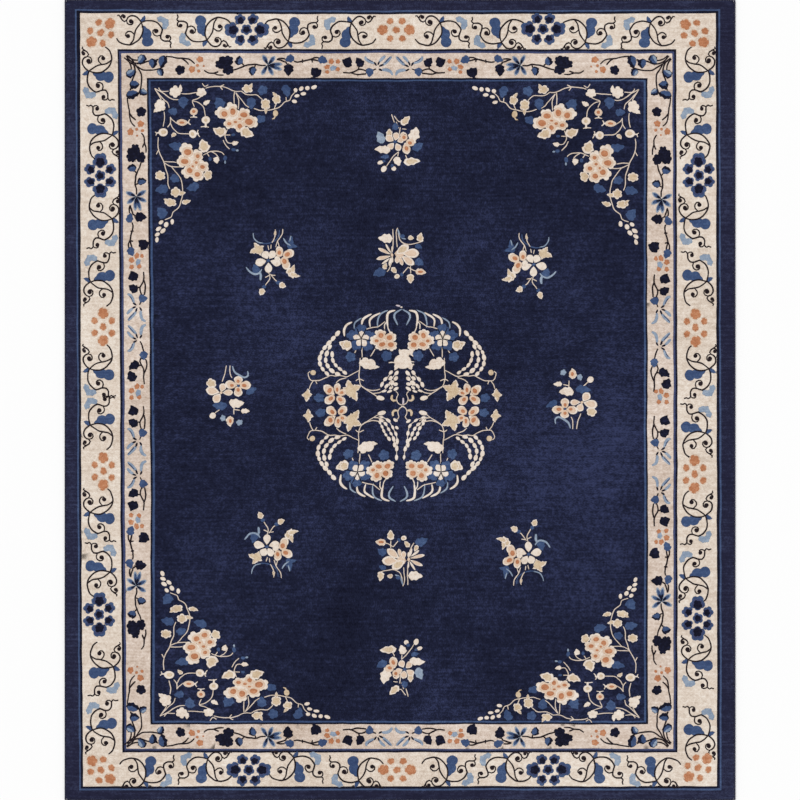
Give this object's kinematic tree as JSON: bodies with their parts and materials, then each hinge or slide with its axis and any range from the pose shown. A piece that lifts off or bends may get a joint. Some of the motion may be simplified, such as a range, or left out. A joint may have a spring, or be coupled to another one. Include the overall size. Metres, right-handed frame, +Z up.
{
  "type": "chinese rug",
  "caption": "Flat room-size hand-knotted wool rug with a floral medallion, corner sprays and two flowered borders; it lies on the floor and furniture stands on it.",
  "frame": {"origin": "middle of the underside, on the surface that the rug lies on", "axes": "+X across the width, +Y along the length towards the upper end in the picture, +Z up through the pile"},
  "size_m": [2.44, 2.913, 0.01],
  "materials": {
    "pile_wool": "matt cut wool pile",
    "edge_wool": "wrapped wool yarn"
  },
  "bodies": {
    "root": {"pile_body": "pile_wool", "side_cord_left": "edge_wool", "side_cord_right": "edge_wool", "end_overcast_lower": "edge_wool", "end_overcast_upper": "edge_wool"}
  },
  "joints": []
}
